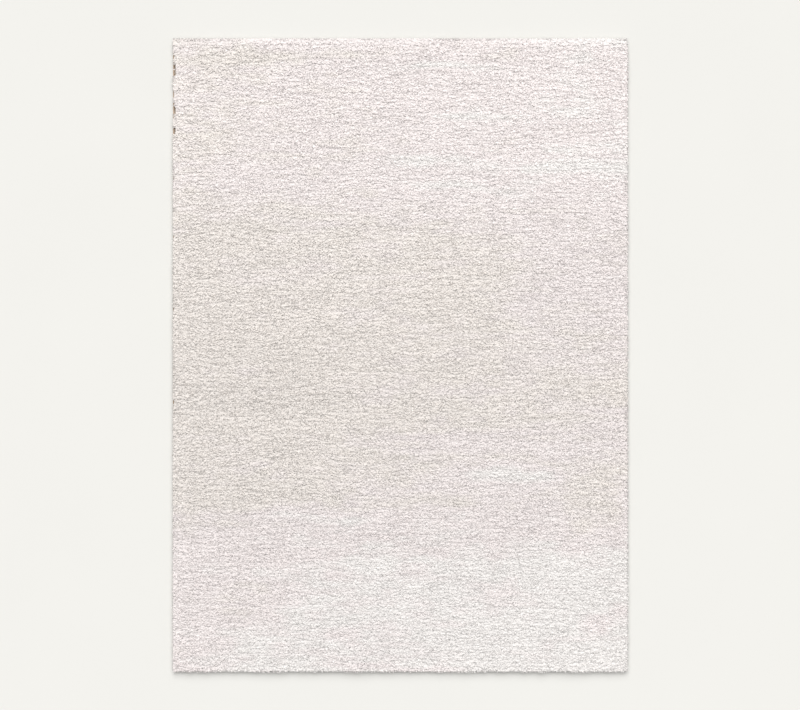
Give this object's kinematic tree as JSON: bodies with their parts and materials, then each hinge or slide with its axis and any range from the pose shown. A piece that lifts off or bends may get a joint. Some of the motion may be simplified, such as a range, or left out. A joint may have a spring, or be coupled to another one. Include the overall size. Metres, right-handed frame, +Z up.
{
  "type": "shag rug",
  "caption": "Rectangular shag rug lying flat, with a lumpy cream pile on a woven ground, locks falling over its rim and overcast long sides.",
  "frame": {"origin": "on the floor under the middle of the rug", "axes": "+X across the rug, +Y along its length, +Z up out of the pile"},
  "size_m": [2.04, 2.84, 0.0361],
  "materials": {
    "cream_pile": "long cut pile, matt with a soft sheen",
    "tan_yarn": "matt oversewn yarn",
    "ground_cloth": "matt plain weave"
  },
  "bodies": {
    "root": {"pile_cloth": "cream_pile", "overcast_edge_left": "tan_yarn", "overcast_edge_right": "tan_yarn"}
  },
  "joints": []
}
